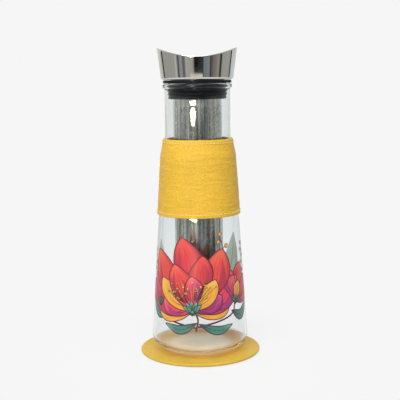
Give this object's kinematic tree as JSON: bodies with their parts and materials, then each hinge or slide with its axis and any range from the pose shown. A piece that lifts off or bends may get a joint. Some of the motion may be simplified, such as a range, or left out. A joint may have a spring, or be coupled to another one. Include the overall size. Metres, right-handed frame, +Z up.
{
  "type": "glass carafe",
  "caption": "Tall clear glass carafe with a leather sleeve and coaster, a saddle-shaped steel pouring head with a tilting flap, a ribbed seal and a long infuser.",
  "frame": {"origin": "centre of the coaster's underside, on the surface that the carafe stands on", "axes": "+Z up along the glass's axis; -Y is the front that the picture shows; the two pouring peaks of the head point along -X and +X; the sleeve's seam is at +Y"},
  "size_m": [0.1176, 0.1176, 0.2965],
  "materials": {
    "yellow_leather": "pebbled grain, satin",
    "suede_backing": "napped",
    "clear_glass": "clear, fire-polished",
    "microfibre_lining": "napped",
    "stitch_thread": "twisted thread",
    "black_silicone": "satin",
    "polished_steel": "mirror polished",
    "black_plastic": "moulded satin",
    "ring_silicone": "satin",
    "perforated_steel": "fine perforation, polished"
  },
  "bodies": {
    "coaster": {"coaster_leather": "yellow_leather", "coaster_backing": "suede_backing"},
    "carafe": {"glass_body": "clear_glass"},
    "sleeve": {"sleeve_leather": "yellow_leather", "sleeve_lining": "microfibre_lining", "stitch_line_top": "stitch_thread", "stitch_line_bottom": "stitch_thread", "seam_lacing": "stitch_thread"},
    "lid": {"lid_seal": "black_silicone", "pouring_head": "polished_steel", "lid_throat": "polished_steel", "flap_seat_ring": "black_plastic", "flap_pin": "polished_steel"},
    "flap": {"flap_plate": "polished_steel", "flap_weight": "polished_steel"},
    "infuser": {"infuser_collar": "polished_steel", "infuser_o_ring": "ring_silicone", "infuser_tube": "perforated_steel", "infuser_base": "polished_steel"}
  },
  "joints": [
    {"name": "carafe_lift", "type": "slide", "parent": "coaster", "child": "carafe", "axis": [0, 0, 1], "range_m": [0, 0.1]},
    {"name": "sleeve_slide", "type": "slide", "parent": "carafe", "child": "sleeve", "axis": [0, 0, 1], "range_m": [0, 0.04]},
    {"name": "lid_lift", "type": "slide", "parent": "carafe", "child": "lid", "axis": [0, 0, 1], "range_m": [0, 0.2]},
    {"name": "flap_tilt", "type": "hinge", "parent": "lid", "child": "flap", "pos_m": [0, 0, 0.2646], "axis": [0, 1, 0], "range_deg": [-60, 60]},
    {"name": "infuser_pull", "type": "slide", "parent": "lid", "child": "infuser", "axis": [0, 0, -1], "range_m": [0, 0.02]}
  ]
}
